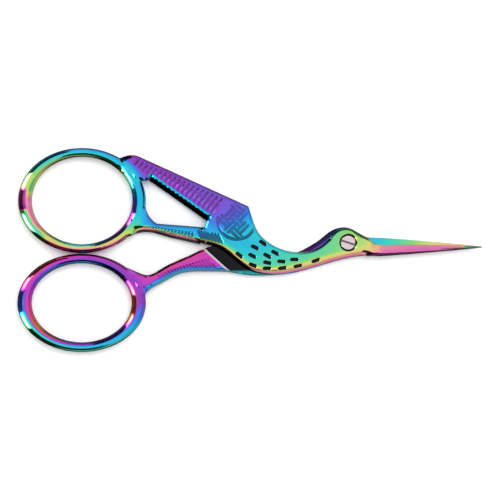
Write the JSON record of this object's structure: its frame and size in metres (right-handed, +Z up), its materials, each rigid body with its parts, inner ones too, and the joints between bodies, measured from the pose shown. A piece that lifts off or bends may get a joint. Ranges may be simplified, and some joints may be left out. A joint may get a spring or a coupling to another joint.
{
  "type": "stork embroidery scissors",
  "caption": "Small stork-shaped embroidery scissors with oval finger rings, a carved wing and body, and straight pointed blades that form the beak.",
  "frame": {"origin": "on the pivot axis, in the plane of the table that the scissors lie on", "axes": "+X from the finger rings to the tip of the beak, +Y from the belly to the wing, +Z up from the table"},
  "size_m": [0.1159, 0.0508, 0.0044],
  "materials": {
    "coated_steel": "polished steel with an iridescent coating, purple through blue and green to pink",
    "bare_steel": "turned and lightly brushed"
  },
  "bodies": {
    "rear": {"rear_half": "coated_steel", "pivot_screw": "bare_steel"},
    "front": {"front_half": "coated_steel"}
  },
  "joints": [
    {"name": "pivot", "type": "hinge", "parent": "rear", "child": "front", "pos_m": [0, 0, 0.00218], "axis": [0, 0, -1], "range_deg": [0, 70]}
  ]
}
